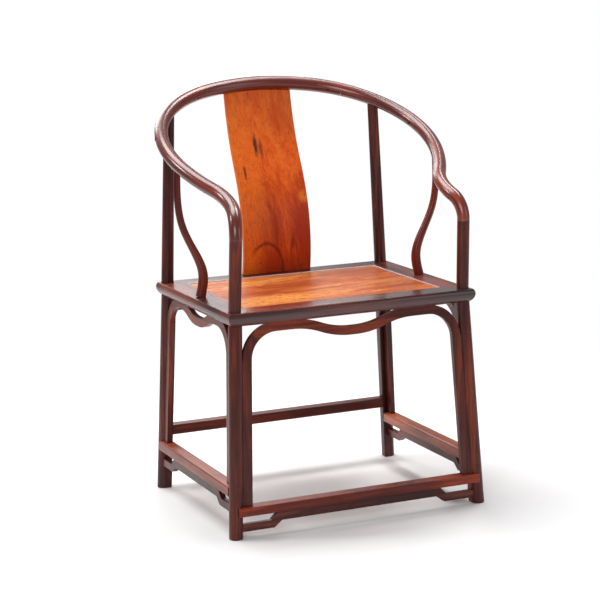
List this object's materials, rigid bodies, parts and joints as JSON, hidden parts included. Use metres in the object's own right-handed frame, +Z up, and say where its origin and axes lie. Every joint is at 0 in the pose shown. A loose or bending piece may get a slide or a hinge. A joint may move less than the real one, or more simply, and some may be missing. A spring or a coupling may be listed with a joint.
{
  "type": "horseshoe back armchair",
  "caption": "Hardwood armchair whose crest rail runs as one horseshoe from arm to arm over a curved splat, on one-piece splayed legs with arched aprons and a footrest.",
  "frame": {"origin": "on the floor, in the middle of the chair's plan box; the middle of the seat frame lies 37.1 mm in front of it", "axes": "+Z up, the sitter faces -Y, +X is the right-hand side as seen from the front (the sitter's left)"},
  "size_m": [0.6808, 0.5782, 0.9652],
  "materials": {
    "frame_wood": "polished dark reddish-brown hardwood, wax over oil",
    "splat_wood": "polished orange-red board with upright grain",
    "panel_wood": "polished golden-orange board with grain across the seat",
    "peg_wood": "polished end grain, darker than the rail"
  },
  "bodies": {
    "root": {"back_apron": "frame_wood", "back_stretcher": "frame_wood", "crest_arm_left": "frame_wood", "crest_arm_right": "frame_wood", "crest_centre": "frame_wood", "crest_peg_arm_left": "peg_wood", "crest_peg_arm_right": "peg_wood", "crest_peg_back_left": "peg_wood", "crest_peg_back_right": "peg_wood", "crest_shoulder_left": "frame_wood", "crest_shoulder_right": "frame_wood", "footrest": "frame_wood", "front_apron_strip_left": "frame_wood", "front_apron_strip_right": "frame_wood", "front_apron_top": "frame_wood", "front_leg_left": "frame_wood", "front_leg_right": "frame_wood", "front_under_rail": "frame_wood", "rear_leg_left": "frame_wood", "rear_leg_right": "frame_wood", "seat_batten_left": "frame_wood", "seat_batten_right": "frame_wood", "seat_panel": "panel_wood", "seat_rail_back": "frame_wood", "seat_rail_front": "frame_wood", "seat_rail_left": "frame_wood", "seat_rail_right": "frame_wood", "side_apron_front_strip_left": "frame_wood", "side_apron_front_strip_right": "frame_wood", "side_apron_rear_strip_left": "frame_wood", "side_apron_rear_strip_right": "frame_wood", "side_apron_top_left": "frame_wood", "side_apron_top_right": "frame_wood", "side_post_left": "frame_wood", "side_post_right": "frame_wood", "side_stretcher_left": "frame_wood", "side_stretcher_right": "frame_wood", "side_under_rail_left": "frame_wood", "side_under_rail_right": "frame_wood", "splat": "splat_wood"}
  },
  "joints": []
}
